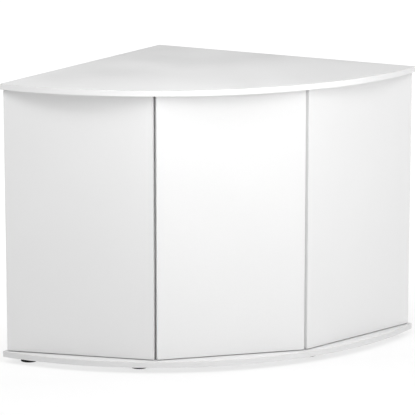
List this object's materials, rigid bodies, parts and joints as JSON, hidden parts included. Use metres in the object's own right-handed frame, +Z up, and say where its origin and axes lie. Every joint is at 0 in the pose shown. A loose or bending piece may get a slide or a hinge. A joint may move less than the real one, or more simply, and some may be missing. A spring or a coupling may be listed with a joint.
{
  "type": "corner aquarium cabinet",
  "caption": "Quarter-round corner cabinet that carries an aquarium: round-fronted top and base boards, flat handle-less doors that open outwards, and levelling feet.",
  "frame": {"origin": "on the floor under the middle of the cabinet's box", "axes": "+X to the right seen from the front, -Y to the front, +Y to the room's corner, +Z up"},
  "size_m": [1.2304, 0.8728, 0.804],
  "materials": {
    "white_board": "matt white melamine face on chipboard, fine texture",
    "white_edge_band": "matt white edge band",
    "beech": "fluted beech",
    "zinc": "die-cast zinc, nickel plated",
    "bright_steel": "zinc-plated steel",
    "grey_plastic": "moulded grey plastic",
    "white_plastic": "moulded white plastic",
    "black_plastic": "moulded black plastic"
  },
  "bodies": {
    "cabinet": {"top_panel": "white_board", "base_panel": "white_board", "top_edging": "white_edge_band", "base_edging": "white_edge_band", "partition_left": "white_board", "partition_right": "white_board", "rear_board_left": "white_board", "rear_board_right": "white_board", "wooden_dowels": "beech", "cam_bolts": "bright_steel", "cam_locks": "zinc", "base_screws": "bright_steel", "pivot_bushes": "grey_plastic", "latch_housings": "grey_plastic", "latch_screws": "bright_steel", "foot_sleeves": "black_plastic"},
    "left_door": {"left_door": "white_board", "left_door_edging": "white_edge_band", "left_door_pivots": "bright_steel", "left_door_strike": "bright_steel"},
    "middle_door": {"middle_door": "white_board", "middle_door_edging": "white_edge_band", "middle_door_pivots": "bright_steel", "middle_door_strike": "bright_steel"},
    "right_door": {"right_door": "white_board", "right_door_edging": "white_edge_band", "right_door_pivots": "bright_steel", "right_door_strike": "bright_steel"},
    "left_plunger": {"left_latch_plunger": "white_plastic"},
    "middle_plunger": {"middle_latch_plunger": "white_plastic"},
    "right_plunger": {"right_latch_plunger": "white_plastic"},
    "front_left_pad": {"front_left_foot_pad": "black_plastic"},
    "front_left_stem": {"front_left_foot_stem": "bright_steel"},
    "front_right_pad": {"front_right_foot_pad": "black_plastic"},
    "front_right_stem": {"front_right_foot_stem": "bright_steel"},
    "tip_left_pad": {"tip_left_foot_pad": "black_plastic"},
    "tip_left_stem": {"tip_left_foot_stem": "bright_steel"},
    "tip_right_pad": {"tip_right_foot_pad": "black_plastic"},
    "tip_right_stem": {"tip_right_foot_stem": "bright_steel"},
    "rear_left_pad": {"rear_left_foot_pad": "black_plastic"},
    "rear_left_stem": {"rear_left_foot_stem": "bright_steel"},
    "rear_right_pad": {"rear_right_foot_pad": "black_plastic"},
    "rear_right_stem": {"rear_right_foot_stem": "bright_steel"},
    "rear_corner_pad": {"rear_corner_foot_pad": "black_plastic"},
    "rear_corner_stem": {"rear_corner_foot_stem": "bright_steel"}
  },
  "joints": [
    {"name": "left_door_hinge", "type": "hinge", "parent": "cabinet", "child": "left_door", "pos_m": [-0.59171, -0.17797, 0.402], "axis": [0, 0, -1], "range_deg": [0, 95]},
    {"name": "middle_door_hinge", "type": "hinge", "parent": "cabinet", "child": "middle_door", "pos_m": [-0.2075, -0.38317, 0.402], "axis": [0, 0, -1], "range_deg": [0, 95]},
    {"name": "right_door_hinge", "type": "hinge", "parent": "cabinet", "child": "right_door", "pos_m": [0.59171, -0.17797, 0.402], "axis": [0, 0, 1], "range_deg": [0, 95]},
    {"name": "left_plunger_slide", "type": "slide", "parent": "cabinet", "child": "left_plunger", "axis": [-0.4818, -0.8763, 0], "range_m": [0, 0.0125]},
    {"name": "middle_plunger_slide", "type": "slide", "parent": "cabinet", "child": "middle_plunger", "axis": [0, -1, 0], "range_m": [0, 0.0125]},
    {"name": "right_plunger_slide", "type": "slide", "parent": "cabinet", "child": "right_plunger", "axis": [0.4818, -0.8763, 0], "range_m": [0, 0.0125]},
    {"name": "front_left_foot_slide", "type": "slide", "parent": "cabinet", "child": "front_left_pad", "axis": [0, 0, -1], "range_m": [0, 0.01]},
    {"name": "front_left_stem_turn", "type": "hinge", "parent": "front_left_pad", "child": "front_left_stem", "pos_m": [-0.2505, -0.3205, 0.018], "axis": [0, 0, -1], "range_deg": [0, 2405]},
    {"name": "front_right_foot_slide", "type": "slide", "parent": "cabinet", "child": "front_right_pad", "axis": [0, 0, -1], "range_m": [0, 0.01]},
    {"name": "front_right_stem_turn", "type": "hinge", "parent": "front_right_pad", "child": "front_right_stem", "pos_m": [0.2505, -0.3205, 0.018], "axis": [0, 0, -1], "range_deg": [0, 2405]},
    {"name": "tip_left_foot_slide", "type": "slide", "parent": "cabinet", "child": "tip_left_pad", "axis": [0, 0, -1], "range_m": [0, 0.01]},
    {"name": "tip_left_stem_turn", "type": "hinge", "parent": "tip_left_pad", "child": "tip_left_stem", "pos_m": [-0.538, -0.1715, 0.018], "axis": [0, 0, -1], "range_deg": [0, 2405]},
    {"name": "tip_right_foot_slide", "type": "slide", "parent": "cabinet", "child": "tip_right_pad", "axis": [0, 0, -1], "range_m": [0, 0.01]},
    {"name": "tip_right_stem_turn", "type": "hinge", "parent": "tip_right_pad", "child": "tip_right_stem", "pos_m": [0.538, -0.1715, 0.018], "axis": [0, 0, -1], "range_deg": [0, 2405]},
    {"name": "rear_left_foot_slide", "type": "slide", "parent": "cabinet", "child": "rear_left_pad", "axis": [0, 0, -1], "range_m": [0, 0.01]},
    {"name": "rear_left_stem_turn", "type": "hinge", "parent": "rear_left_pad", "child": "rear_left_stem", "pos_m": [-0.24, 0.111, 0.018], "axis": [0, 0, -1], "range_deg": [0, 2405]},
    {"name": "rear_right_foot_slide", "type": "slide", "parent": "cabinet", "child": "rear_right_pad", "axis": [0, 0, -1], "range_m": [0, 0.01]},
    {"name": "rear_right_stem_turn", "type": "hinge", "parent": "rear_right_pad", "child": "rear_right_stem", "pos_m": [0.24, 0.111, 0.018], "axis": [0, 0, -1], "range_deg": [0, 2405]},
    {"name": "rear_corner_foot_slide", "type": "slide", "parent": "cabinet", "child": "rear_corner_pad", "axis": [0, 0, -1], "range_m": [0, 0.01]},
    {"name": "rear_corner_stem_turn", "type": "hinge", "parent": "rear_corner_pad", "child": "rear_corner_stem", "pos_m": [0, 0.336, 0.018], "axis": [0, 0, -1], "range_deg": [0, 2405]}
  ],
  "couplings": [
    {"joint": "left_plunger_slide", "follows": "left_door_hinge", "m_per_rad": 0.0072374},
    {"joint": "middle_plunger_slide", "follows": "middle_door_hinge", "m_per_rad": 0.0072374},
    {"joint": "right_plunger_slide", "follows": "right_door_hinge", "m_per_rad": 0.0072374},
    {"joint": "front_left_stem_turn", "follows": "front_left_foot_slide", "rad_per_m": 4188.8},
    {"joint": "front_right_stem_turn", "follows": "front_right_foot_slide", "rad_per_m": 4188.8},
    {"joint": "tip_left_stem_turn", "follows": "tip_left_foot_slide", "rad_per_m": 4188.8},
    {"joint": "tip_right_stem_turn", "follows": "tip_right_foot_slide", "rad_per_m": 4188.8},
    {"joint": "rear_left_stem_turn", "follows": "rear_left_foot_slide", "rad_per_m": 4188.8},
    {"joint": "rear_right_stem_turn", "follows": "rear_right_foot_slide", "rad_per_m": 4188.8},
    {"joint": "rear_corner_stem_turn", "follows": "rear_corner_foot_slide", "rad_per_m": 4188.8}
  ]
}
